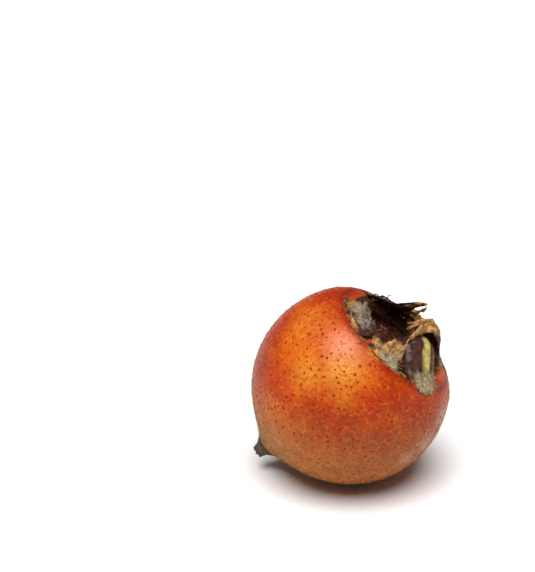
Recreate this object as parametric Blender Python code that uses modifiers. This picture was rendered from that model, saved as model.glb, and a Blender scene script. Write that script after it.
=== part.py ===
"""A ripe medlar lying on its side, picked, with its dried calyx and a short stub of stalk.

The fruit is a fleshy globe. Its crown is an open eye: a deep cup inside a rim, with five dried
sepals round it, each in a shallow seat in the rim. Two sepals are torn short, one folds over
into the eye, one leans over beside it and one ends in a thin curled tip. Dried stamens line the
cup and the stubs of the five styles stand on its floor.

Every piece is modelled in the fruit's own frame, with +Z out of the crown and the origin at the
centre of the globe. One empty then lays the whole fruit down, so that it rests on a small flat
spot whose centre is the world origin.
"""

import math
import random

import bmesh
import bpy
from mathutils import Matrix, Vector, noise

MM = 0.001

# The globe
FRUIT_RADIUS = 20.0 * MM
REST_DEPTH = 19.7 * MM  # from the globe's centre down to the flat spot that it rests on
CROWN_ELEVATION = math.radians(50.3)  # of the crown's axis, above the surface
CROWN_HEADING = math.radians(-9.7)  # of the crown's axis, from +X towards -Y
UNEVENNESS = 0.16 * MM
UNEVEN_SCALE = 1.3
UNEVEN_PLACE = Vector((3.1, 7.7, 1.3))
SHOULDER_SWELL = 0.35 * MM  # of the skin between two sepals
SHOULDER_WIDTH = math.radians(12)
SHOULDER_ANGLE = math.radians(53)  # of that swelling, from the crown's axis
SHOULDER_REACH = math.radians(36)  # half the way from one sepal to the next

# The eye from the middle of its floor, over the rim, to the outer skin: radius, height, and how
# much lower it is in the seat of a sepal, in mm
EYE_PROFILE = [
    (0.0, 7.3, 0.0),
    (2.2, 7.35, 0.0),
    (4.4, 7.6, 0.0),
    (6.6, 8.3, 0.0),
    (8.3, 9.7, 0.0),
    (9.3, 11.5, 0.0),
    (9.7, 13.0, 0.2),
    (10.1, 14.3, 0.8),
    (10.7, 14.95, 0.95),
    (11.5, 14.95, 0.95),
    (12.5, 14.6, 0.95),
    (12.95, 14.4, 0.8),
    (13.15, 14.3, 0.0),
    (13.9, 13.95, 0.0),
    (15.1, 12.95, 0.0),
]
SEAT_MARGIN = math.radians(5.5)  # of a seat past the foot of its sepal, at each side
SKIN_START = math.radians(54)  # where the round skin begins, from the crown's axis
SKIN_RINGS = 22
TURN_STEPS = 72

# The stalk, as (radius, height) in mm from its cut end to the hollow foot that fits the fruit
STALK_LEAN = math.radians(11.7)  # of the stalk from the line through crown and centre
STALK_AZIMUTH = math.radians(205.4)
STALK_CONES = [  # how far the flesh is drawn out towards the stalk, and over what angle
    (1.1 * MM, math.radians(20)),
    (1.5 * MM, math.radians(12)),
]
STALK_PROFILE = [(0.0, 2.3), (0.9, 2.2), (1.3, 1.9), (1.45, 1.2), (1.8, 0.5), (2.25, -0.1), (2.5, -0.6), (0.0, 0.0)]
STALK_STEPS = 20
PIECE_GAP = 0.3 * MM  # between two pieces that touch

# The sepals. Each lies in its seat at the foot and then stands free, leaning in.
BLADE_THICKNESS = 0.8 * MM
SEPAL_COLUMNS = 10
SEPAL_ROWS = 14
SEPAL_FOOT = [(12.55, 14.4), (11.7, 14.9), (10.7, 15.5)]  # (radius, height) in mm
TORN_DEPTH = 0.2  # of the ragged edge, as a share of the blade's length
TORN_BIAS = 0.3  # the larger it is, the more of the raggedness takes length away
TORN_PITCH = 2.2
RUFFLE_PITCH = (1.9, 4.0)  # across the blade and along it
LEAST_CURL_RADIUS = 5.0 * MM
FLATTENING = 0.75  # how nearly flat a blade is at its end
NORMAL_REACH = 0.02  # how far along its path, to each side, a blade's slope is measured
SEPALS = {
    # azimuth and sway in degrees. The free path is (radius, height), and it, the widths, the
    # drift of the end to one side and the cup are in mm. The cup is how far the edges bend to the
    # blade's outer side. kept is the share of its length that the blade keeps at each edge.
    "sepal_folded": {
        "azimuth": 315.0,
        "sway": 5.0,
        "path": [(8.6, 17.0), (6.4, 18.7), (4.6, 20.2), (3.2, 21.5), (1.9, 21.4), (1.5, 20.0), (2.0, 18.4)],
        "widths": [9.6, 10.4, 10.4, 10.2, 10.0, 9.4, 8.6, 7.4, 5.2, 2.6],
        "drift": -1.2,
        "cup": -0.9,
        "ruffle": 0.25,
        "kept": (1.0, 1.0),
    },
    "sepal_front_stump": {
        "azimuth": 264.0,
        "sway": -9.0,
        "path": [(9.8, 16.4), (8.4, 17.5), (7.0, 18.6)],
        "widths": [7.8, 7.6, 7.2, 6.2, 5.2, 4.4],
        "drift": 0.0,
        "cup": 0.4,
        "ruffle": 0.2,
        "kept": (0.62, 1.0),
    },
    "sepal_back_stump": {
        "azimuth": 211.0,
        "sway": -1.0,
        "path": [(9.9, 16.2), (9.1, 17.0)],
        "widths": [11.4, 11.4, 10.8, 9.8, 8.6],
        "drift": 0.0,
        "cup": 0.3,
        "ruffle": 0.25,
        "kept": (1.0, 0.95),
    },
    "sepal_curled": {
        "azimuth": 116.0,
        "sway": -6.0,
        "path": [(9.4, 16.2), (7.6, 17.2), (5.9, 18.6), (4.3, 20.4), (2.4, 22.4), (0.5, 24.2)],
        "widths": [10.6, 10.6, 9.8, 8.2, 6.0, 4.0, 2.6, 1.8, 1.1],
        "drift": 0.0,
        "cup": 0.4,
        "ruffle": 0.3,
        "kept": (1.0, 1.0),
    },
    "sepal_leaning": {
        "azimuth": 40.0,
        "sway": 0.0,
        "path": [(9.0, 16.8), (7.9, 18.2), (6.9, 19.4), (5.9, 20.1), (4.9, 19.9)],
        "widths": [10.4, 10.4, 9.8, 8.6, 7.4, 6.0, 4.2, 2.0],
        "drift": 0.0,
        "cup": -0.5,
        "ruffle": 0.25,
        "kept": (1.0, 1.0),
    },
}

# The dried stamens, on the ring that they grow from inside the rim
STAMEN_RING_RADIUS = 8.95 * MM
STAMEN_RING_HEIGHT = 13.0 * MM
STAMEN_RING_THICKNESS = 0.38 * MM
STAMEN_RING_SIDES = 8
STAMEN_RING_STEPS = 48
STAMEN_COUNT = 20
STAMEN_RADIUS = 0.2 * MM
STAMEN_LENGTH = 2.8 * MM
STAMEN_JOINTS = 5
STAMEN_TAPER = 0.7
STAMEN_SEED = 12

# The stubs of the five styles, on a low button in the middle of the eye's floor
STYLE_COUNT = 5
STYLE_LENGTH = 1.9 * MM
STYLE_RADIUS = 0.32 * MM
STYLE_TAPER = 0.8
STYLE_LEAN = math.radians(24)
STYLE_DROOP = 0.3 * MM
STYLE_BEND = 0.6  # where a style bends, as a share of its length
STYLE_RING = 0.4  # where the styles stand, as a share of the button's radius and of its height
STYLE_TURN = 0.3
BUTTON_RADIUS = 1.5 * MM
BUTTON_HEIGHT = 0.8 * MM
BUTTON_SUNK = 0.24 * MM  # how much of its round underside is cut off flat
BUTTON_FOOT = 7.75 * MM  # height of its underside in the fruit's own frame


def clear_scene():
    for old in list(bpy.data.objects):
        bpy.data.objects.remove(old)


def material(name, colour, roughness):
    made = bpy.data.materials.new(name)
    made.use_nodes = True
    shader = made.node_tree.nodes["Principled BSDF"]
    shader.inputs["Base Color"].default_value = (*colour, 1.0)
    shader.inputs["Roughness"].default_value = roughness
    shader.inputs["Metallic"].default_value = 0.0
    return made


def smoothstep(low, high, value):
    t = min(1.0, max(0.0, (value - low) / (high - low)))
    return t * t * (3.0 - 2.0 * t)


def along(points, t):
    """A smooth curve through the points, at t from 0 to 1. The points may have any number of parts."""
    last = len(points) - 1
    place_on = min(max(t, 0.0), 1.0) * last
    i = min(int(place_on), last - 1)
    f = place_on - i
    before, start, end, after = (points[min(max(k, 0), last)] for k in (i - 1, i, i + 1, i + 2))
    return tuple(
        0.5 * (2 * b + (c - a) * f + (2 * a - 5 * b + 4 * c - d) * f * f + (3 * b - a - 3 * c + d) * f**3)
        for a, b, c, d in zip(before, start, end, after)
    )


def stalk_direction():
    """The unit vector from the globe's centre to the stalk, in the fruit's own frame."""
    sideways = math.sin(STALK_LEAN)
    return Vector(
        (
            sideways * math.cos(STALK_AZIMUTH),
            sideways * math.sin(STALK_AZIMUTH),
            -math.cos(STALK_LEAN),
        )
    )


def swelling(direction):
    """How far the skin stands out from the plain globe in this direction, in metres."""
    azimuth = math.atan2(direction.y, direction.x)
    from_crown = direction.angle(Vector((0, 0, 1)))
    ring = math.exp(-(((from_crown - SHOULDER_ANGLE) / SHOULDER_WIDTH) ** 2))
    nearest = min(
        abs(math.remainder(azimuth - math.radians(sepal["azimuth"]), 2 * math.pi))
        for sepal in SEPALS.values()
    )
    between = smoothstep(0.0, SHOULDER_REACH, nearest) - 0.5
    from_stalk = direction.angle(stalk_direction())
    drawn_out = sum(height * math.exp(-((from_stalk / width) ** 2)) for height, width in STALK_CONES)
    uneven = noise.noise(direction * UNEVEN_SCALE + UNEVEN_PLACE)
    return SHOULDER_SWELL * between * ring + drawn_out + UNEVENNESS * uneven


def seat_share(direction):
    """1 where a sepal is seated on the rim in this direction, and 0 between two seats."""
    azimuth = math.atan2(direction.y, direction.x)
    for sepal in SEPALS.values():
        half_foot = 0.5 * sepal["widths"][0] / SEPAL_FOOT[0][0]
        if abs(math.remainder(azimuth - math.radians(sepal["azimuth"]), 2 * math.pi)) < half_foot + SEAT_MARGIN:
            return 1.0
    return 0.0


def evaluated_mesh(obj):
    """A new mesh of the object with its modifiers or bevel. The object itself is removed."""
    graph = bpy.context.evaluated_depsgraph_get()
    made = bpy.data.meshes.new_from_object(obj.evaluated_get(graph))
    bpy.data.objects.remove(obj)
    return made


def turned(name, profile, steps):
    """A mesh turned round Z from a profile that runs down its outer side."""
    mesh = bpy.data.meshes.new(name)
    mesh.from_pydata(
        [(r, 0.0, z) for r, z in profile],
        [(i, i + 1) for i in range(len(profile) - 1)],
        [],
    )
    guide = bpy.data.objects.new(name + "_profile", mesh)
    bpy.context.scene.collection.objects.link(guide)
    screw = guide.modifiers.new("turn", "SCREW")
    screw.steps = screw.render_steps = steps
    screw.use_merge_vertices = True
    screw.merge_threshold = 1e-5
    return evaluated_mesh(guide)


def place(name, mesh, finish, collection, parent):
    """An object for the mesh, in the fruit's own frame."""
    mesh.materials.clear()
    mesh.materials.append(finish)
    made = bpy.data.objects.new(name, mesh)
    collection.objects.link(made)
    made.parent = parent
    made.data.shade_smooth()
    return made


def cut_flat(work, point, outward):
    """Cuts off what lies beyond the plane and closes the cut with one flat face."""
    bmesh.ops.bisect_plane(
        work,
        geom=work.verts[:] + work.edges[:] + work.faces[:],
        plane_co=point,
        plane_no=outward,
        clear_outer=True,
    )
    bmesh.ops.holes_fill(work, edges=work.edges[:])
    bmesh.ops.recalc_face_normals(work, faces=work.faces[:])


def lying_frame():
    """The matrix that lays the fruit down: its origin, the downhill side of the crown, and its axis."""
    e, h = CROWN_ELEVATION, CROWN_HEADING
    crown = Vector((math.cos(h) * math.cos(e), math.sin(h) * math.cos(e), math.sin(e)))
    downhill = Vector((math.cos(h) * math.sin(e), math.sin(h) * math.sin(e), -math.cos(e)))
    across = crown.cross(downhill)
    turn = Matrix((downhill, across, crown)).transposed().to_4x4()
    return Matrix.Translation((0, 0, REST_DEPTH)) @ turn


def body_profile():
    """(radius, height) from the eye's floor, over the rim and down the skin to the stalk's pole."""
    eye = [(r * MM, z * MM) for r, z, _ in EYE_PROFILE]
    skin = []
    for i in range(SKIN_RINGS):
        angle = SKIN_START + (math.pi - SKIN_START) * i / SKIN_RINGS
        skin.append((FRUIT_RADIUS * math.sin(angle), FRUIT_RADIUS * math.cos(angle)))
    return eye + skin + [(0.0, -FRUIT_RADIUS)]


def make_body(frame, finish, collection, parent):
    """The flesh and skin in one piece, with the eye as a cup in its crown and a flat spot below."""
    mesh = turned("fruit_body", body_profile(), TURN_STEPS)
    seats = {round(r, 3): depth * MM for r, _, depth in EYE_PROFILE if depth > 0.0}
    for vertex in mesh.vertices:
        direction = vertex.co.normalized()
        depth = seats.get(round(vertex.co.xy.length / MM, 3), 0.0) if vertex.co.z > 0.0 else 0.0
        vertex.co.z -= depth * seat_share(direction)
        vertex.co += direction * swelling(direction)
    to_own = frame.inverted()
    work = bmesh.new()
    work.from_mesh(mesh)
    cut_flat(work, to_own @ Vector((0, 0, 0)), to_own.to_3x3() @ Vector((0, 0, -1)))
    work.to_mesh(mesh)
    work.free()
    body = place("fruit_body", mesh, finish, collection, parent)
    mesh.set_sharp_from_angle(angle=math.radians(50))
    return body


def make_stalk(finish, collection, parent):
    """The short stub of stalk, cut across, drawn out from the flesh opposite the crown."""
    profile = [(r * MM, z * MM) for r, z in STALK_PROFILE]
    mesh = turned("stalk_stub", profile, STALK_STEPS)
    direction = stalk_direction()
    stalk = place("stalk_stub", mesh, finish, collection, parent)
    stalk.location = direction * (FRUIT_RADIUS + swelling(direction) + PIECE_GAP)
    stalk.rotation_euler = direction.to_track_quat("Z", "Y").to_euler()
    return stalk


def blade_normal(path, up):
    """The outer normal of a sepal's path at up, as (outwards, upwards)."""
    before = Vector(along(path, up - NORMAL_REACH))
    after = Vector(along(path, up + NORMAL_REACH))
    run = (after - before).normalized()
    return run.y, -run.x


def share_kept(sepal, across):
    """How much of its length the blade keeps at this place across it."""
    low, high = sepal["kept"]
    if low == high == 1.0:
        return 1.0
    ragged = noise.noise(Vector((across * TORN_PITCH, sepal["azimuth"], 0.0)))
    return min(1.0, low + (high - low) * 0.5 * (across + 1.0) + TORN_DEPTH * (ragged - TORN_BIAS))


def sepal_point(sepal, across, upwards):
    """A point of a sepal's middle surface: across runs from -1 to 1 and upwards from 0 to 1."""
    path = SEPAL_FOOT + sepal["path"]
    up = upwards * share_kept(sepal, across)
    r, z = (value * MM for value in along(path, up))
    (width,) = along([(w,) for w in sepal["widths"]], up)
    offset = 0.5 * width * MM * across
    azimuth = math.radians(sepal["azimuth"] + sepal["sway"] * up)
    # The foot of the blade wraps the round rim, and higher up it flattens.
    foot_share = (len(SEPAL_FOOT) - 1) / (len(path) - 1)
    free = smoothstep(foot_share, 1.0, up)
    bend = offset / max(r, LEAST_CURL_RADIUS)
    wrapped = Vector((math.cos(azimuth + bend), math.sin(azimuth + bend), 0.0)) * r
    out = Vector((math.cos(azimuth), math.sin(azimuth), 0.0))
    side = Vector((-math.sin(azimuth), math.cos(azimuth), 0.0))
    flat = out * r + side * offset
    point = wrapped.lerp(flat, FLATTENING * free) + Vector((0, 0, z))
    outwards, upright = blade_normal(path, up)
    normal = out * outwards + Vector((0, 0, upright))
    cupped = sepal["cup"] * across * across * smoothstep(0.0, 2.0 * foot_share, up)
    place_on = Vector((across * RUFFLE_PITCH[0], up * RUFFLE_PITCH[1], sepal["azimuth"]))
    ruffle = sepal["ruffle"] * free * noise.noise(place_on)
    drift = side * (sepal["drift"] * free)
    direction = point.normalized()
    return point + (normal * (cupped + ruffle) + drift) * MM + direction * (swelling(direction) * (1.0 - free))


def make_sepal(name, sepal, finish, collection, parent):
    """One dried sepal: a thin blade seated on the rim, leaning in over the eye."""
    work = bmesh.new()
    bmesh.ops.create_grid(work, x_segments=SEPAL_COLUMNS, y_segments=SEPAL_ROWS, size=1.0)
    for vertex in work.verts:
        vertex.co = sepal_point(sepal, vertex.co.x, 0.5 * (vertex.co.y + 1.0))
    mesh = bpy.data.meshes.new(name)
    work.to_mesh(mesh)
    work.free()
    made = place(name, mesh, finish, collection, parent)
    shell = made.modifiers.new("blade", "SOLIDIFY")
    shell.thickness = BLADE_THICKNESS
    shell.offset = 0.0
    return made


def tube(name, points, radius, taper):
    """A closed mesh round a line of points, thinning to a share of its radius at the last one."""
    data = bpy.data.curves.new(name, "CURVE")
    data.dimensions = "3D"
    data.bevel_depth = radius
    data.bevel_resolution = 1
    data.use_fill_caps = True
    line = data.splines.new("POLY")
    line.points.add(len(points) - 1)
    for i, (point, knot) in enumerate(zip(points, line.points)):
        knot.co = (*point, 1.0)
        knot.radius = 1.0 + (taper - 1.0) * i / (len(points) - 1)
    guide = bpy.data.objects.new(name, data)
    bpy.context.scene.collection.objects.link(guide)
    mesh = evaluated_mesh(guide)
    work = bmesh.new()
    work.from_mesh(mesh)
    bmesh.ops.remove_doubles(work, verts=work.verts, dist=1e-6)
    bmesh.ops.recalc_face_normals(work, faces=work.faces[:])
    work.to_mesh(mesh)
    work.free()
    return mesh


def fused(name, base, repeats):
    """One mesh: the base with every one of the repeats joined to it."""
    helpers = bpy.data.collections.new(name + "_repeats")
    bpy.context.scene.collection.children.link(helpers)
    for i, mesh in enumerate(repeats):
        helpers.objects.link(bpy.data.objects.new(f"{name}_repeat_{i}", mesh))
    whole = bpy.data.objects.new(name + "_base", base)
    bpy.context.scene.collection.objects.link(whole)
    join = whole.modifiers.new("join", "BOOLEAN")
    join.operation = "UNION"
    join.operand_type = "COLLECTION"
    join.collection = helpers
    bpy.context.view_layer.update()
    made = evaluated_mesh(whole)
    for helper in list(helpers.objects):
        bpy.data.objects.remove(helper)
    bpy.data.collections.remove(helpers)
    return made


def stamen_line(rng, azimuth):
    """The points of one dried filament, from inside its ring up and in over the eye."""
    r, z = STAMEN_RING_RADIUS, STAMEN_RING_HEIGHT
    lean = rng.uniform(0.35, 0.8)
    curl = rng.uniform(0.2, 0.75)
    sway = rng.uniform(-0.12, 0.12)
    step = STAMEN_LENGTH * rng.uniform(0.6, 1.0) / STAMEN_JOINTS
    points = []
    for _ in range(STAMEN_JOINTS + 1):
        points.append((r * math.cos(azimuth), r * math.sin(azimuth), z))
        r -= step * math.sin(lean)
        z += step * math.cos(lean)
        lean += curl
        azimuth += sway
    return points


def stamen_ring():
    """The dried ring itself: a small circle spun round the eye."""
    work = bmesh.new()
    bmesh.ops.create_circle(work, segments=STAMEN_RING_SIDES, radius=STAMEN_RING_THICKNESS)
    upright = Matrix.Rotation(math.pi / 2, 4, "X")
    outwards = Matrix.Translation((STAMEN_RING_RADIUS, 0, STAMEN_RING_HEIGHT))
    bmesh.ops.transform(work, matrix=outwards @ upright, verts=work.verts)
    bmesh.ops.spin(
        work,
        geom=work.verts[:] + work.edges[:],
        axis=(0, 0, 1),
        cent=(0, 0, 0),
        steps=STAMEN_RING_STEPS,
        angle=2 * math.pi,
        use_merge=True,
    )
    bmesh.ops.remove_doubles(work, verts=work.verts, dist=1e-6)
    bmesh.ops.recalc_face_normals(work, faces=work.faces[:])
    ring = bpy.data.meshes.new("stamen_ring")
    work.to_mesh(ring)
    work.free()
    return ring


def make_stamens(finish, collection, parent):
    """The dried ring inside the rim, with the curled filaments that stand on it."""
    rng = random.Random(STAMEN_SEED)
    filaments = []
    for i in range(STAMEN_COUNT):
        azimuth = 2 * math.pi * (i + rng.uniform(-0.3, 0.3)) / STAMEN_COUNT
        filaments.append(tube(f"filament_{i}", stamen_line(rng, azimuth), STAMEN_RADIUS, STAMEN_TAPER))
    return place("dried_stamens", fused("stamens", stamen_ring(), filaments), finish, collection, parent)


def make_styles(finish, collection, parent):
    """The stubs of the five styles, grown together at the foot on a low button."""
    work = bmesh.new()
    bmesh.ops.create_uvsphere(work, u_segments=16, v_segments=8, radius=BUTTON_RADIUS)
    bmesh.ops.scale(work, vec=(1, 1, BUTTON_HEIGHT / BUTTON_RADIUS), verts=work.verts)
    cut_flat(work, Vector((0, 0, -BUTTON_SUNK)), Vector((0, 0, -1)))
    bmesh.ops.translate(work, vec=(0, 0, BUTTON_FOOT + BUTTON_SUNK), verts=work.verts)
    button = bpy.data.meshes.new("style_button")
    work.to_mesh(button)
    work.free()
    styles = []
    for i in range(STYLE_COUNT):
        azimuth = 2 * math.pi * i / STYLE_COUNT + STYLE_TURN
        out = Vector((math.cos(azimuth), math.sin(azimuth), 0.0))
        foot = out * (STYLE_RING * BUTTON_RADIUS) + Vector((0, 0, BUTTON_FOOT + STYLE_RING * BUTTON_HEIGHT))
        rise = (out * math.sin(STYLE_LEAN) + Vector((0, 0, math.cos(STYLE_LEAN)))) * STYLE_LENGTH
        points = [foot, foot + rise * STYLE_BEND, foot + rise - Vector((0, 0, STYLE_DROOP))]
        styles.append(tube(f"style_{i}", points, STYLE_RADIUS, STYLE_TAPER))
    return place("style_stubs", fused("styles", button, styles), finish, collection, parent)


def main():
    clear_scene()
    collection = bpy.data.collections.new("medlar")
    bpy.context.scene.collection.children.link(collection)
    skin = material("ripe_skin", (0.60, 0.13, 0.02), 0.4)
    bark = material("stalk_bark", (0.10, 0.075, 0.055), 0.85)
    dry_blade = material("dry_sepal", (0.25, 0.17, 0.09), 0.8)
    dry_thread = material("dry_thread", (0.09, 0.045, 0.025), 0.85)
    frame = lying_frame()
    lie = bpy.data.objects.new("lie_of_the_fruit", None)
    collection.objects.link(lie)
    lie.matrix_world = frame
    bpy.context.view_layer.update()
    make_body(frame, skin, collection, lie)
    make_stalk(bark, collection, lie)
    for name, sepal in SEPALS.items():
        make_sepal(name, sepal, dry_blade, collection, lie)
    make_stamens(dry_thread, collection, lie)
    make_styles(dry_thread, collection, lie)


main()
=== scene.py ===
"""A ripe medlar as picked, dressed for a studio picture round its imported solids.

Each operator makes one piece of the fruit, or one group of like pieces, over the solids that it
stands for: the skin with its lenticels and short hairs, the five dried sepals with the wool at
their feet, the dried stamens and styles in the eye, and the stub of stalk. Shapes are worked out
in the fruit's own frame, with +Z out of the crown and the origin at the globe's centre, and are
then laid down as the solids are.
"""

import math
import random

import bmesh
import bpy
from bpy.props import FloatProperty, FloatVectorProperty, IntProperty, PointerProperty
from mathutils import Matrix, Quaternion, Vector, noise


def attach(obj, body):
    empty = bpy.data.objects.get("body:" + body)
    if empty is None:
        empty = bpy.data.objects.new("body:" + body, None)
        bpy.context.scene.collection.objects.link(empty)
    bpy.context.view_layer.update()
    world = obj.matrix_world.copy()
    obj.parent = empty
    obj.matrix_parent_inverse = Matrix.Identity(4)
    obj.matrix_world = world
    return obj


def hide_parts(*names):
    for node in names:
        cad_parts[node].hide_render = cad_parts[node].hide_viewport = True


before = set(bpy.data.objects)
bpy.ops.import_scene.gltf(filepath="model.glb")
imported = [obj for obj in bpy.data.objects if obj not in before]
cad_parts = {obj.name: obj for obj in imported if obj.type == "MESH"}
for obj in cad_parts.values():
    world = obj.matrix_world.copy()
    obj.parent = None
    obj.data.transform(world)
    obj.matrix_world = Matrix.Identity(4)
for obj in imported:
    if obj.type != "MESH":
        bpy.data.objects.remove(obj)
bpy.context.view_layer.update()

bl_info = {
    "name": "Medlar fruit",
    "version": (1, 0, 0),
    "blender": (4, 5, 0),
    "location": "3D View > Sidebar > Medlar",
    "description": "Builds a ripe medlar with its dried calyx and a short stub of stalk",
    "category": "Add Mesh",
}

MM = 0.001
BODY = "root"

# The colour sockets of the Mix node, by number, because its number sockets share their names
COLOUR_BELOW = 6
COLOUR_ABOVE = 7
COLOUR_MIXED = 2

# The globe, as in the solids
FRUIT_RADIUS = 20.0 * MM
REST_DEPTH = 19.7 * MM
CROWN_ELEVATION = math.radians(50.3)
CROWN_HEADING = math.radians(-9.7)
UNEVENNESS = 0.16 * MM
UNEVEN_SCALE = 1.3
UNEVEN_PLACE = Vector((3.1, 7.7, 1.3))
SHOULDER_SWELL = 0.35 * MM
SHOULDER_WIDTH = math.radians(12)
SHOULDER_ANGLE = math.radians(53)
SHOULDER_REACH = math.radians(36)
STALK_LEAN = math.radians(11.7)
STALK_AZIMUTH = math.radians(205.4)
STALK_CONES = [(1.1 * MM, math.radians(20)), (1.5 * MM, math.radians(12))]
SKIN_START = math.radians(54)

# The eye from the middle of its floor to the outer skin: radius, height and depth of a seat, in mm
EYE_PROFILE = [
    (0.0, 7.3, 0.0),
    (2.2, 7.35, 0.0),
    (4.4, 7.6, 0.0),
    (6.6, 8.3, 0.0),
    (8.3, 9.7, 0.0),
    (9.3, 11.5, 0.0),
    (9.7, 13.0, 0.2),
    (10.1, 14.3, 0.8),
    (10.7, 14.95, 0.95),
    (11.4, 14.97, 0.95),
    (12.0, 14.8, 0.9),
    (12.5, 14.6, 0.5),
    (12.8, 14.47, 0.0),
    (13.3, 14.24, 0.0),
    (13.9, 13.95, 0.0),
    (15.1, 12.95, 0.0),
]
SEAT_MARGIN = math.radians(4.0)
SEAT_EDGE = math.radians(3.0)  # over which a seat fades out at each side
SEAT_CENTRE = 12.55 * MM

# How finely the skin is divided
EYE_RINGS = 90
SKIN_RINGS = 128
TURN_STEPS = 320

# Coloured places on the skin: azimuth, angle from the crown, reach in degrees, and strength
RED_PLACES = [
    (292, 56, 17, 0.9),
    (318, 62, 22, 0.95),
    (350, 66, 30, 0.95),
    (30, 70, 34, 0.8),
    (300, 82, 22, 0.95),
    (275, 81, 15, 0.95),
    (150, 52, 34, 0.8),
    (178, 48, 16, 1.0),
    (208, 43, 12, 1.0),
    (232, 40, 9, 0.95),
    # Partly the skin's own deep red and partly painted shade in the dip by the rim
    (244, 41, 7, 1.0),
    # Partly the skin's own red and partly painted shade: this place darkens the left edge
    (203, 108, 20, 1.0),
    (192, 84, 14, 0.7),
    (178, 96, 14, 1.0),
    (166, 80, 15, 0.95),
    (162, 64, 14, 0.95),
    (262, 92, 14, 0.85),
    (284, 92, 14, 0.7),
    (90, 80, 30, 0.7),
]
GOLD_PLACES = [
    (250, 62, 12, 1.0),
    (238, 78, 11, 0.7),
    (262, 72, 8, 0.5),
    (256, 42, 6, 1.0),
    (210, 64, 16, 0.4),
    (252, 140, 26, 0.8),
    (110, 110, 20, 0.5),
]
# A painted highlight: a pale pink patch on the upper front, where the overhead light reflects
PAINTED_HIGHLIGHT_PLACES = [(238, 53, 9, 1.0)]
# A painted sheen: greyish pink along the right edge, where the fine hairs catch the light at a grazing angle
PAINTED_SHEEN_PLACES = [(345, 60, 8, 0.9), (336, 76, 8, 0.9), (325, 86, 6, 0.6)]
# Without russet or hairs the left edge stays dark red: partly the skin's own red, partly painted shade
BARE_PLACES = [(206, 108, 17, 0.8)]  # with neither russet nor hairs
# Painted shade: a dark red band in the dip by the rim, over the skin's own deep red
RIM_SHADE_ANGLE = math.radians(42.5)  # from the crown, where the skin is darkest round the sepals
RIM_SHADE_WIDTH = math.radians(2.7)
RUSSET_START = math.radians(106)
RUSSET_FULL = math.radians(140)

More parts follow.
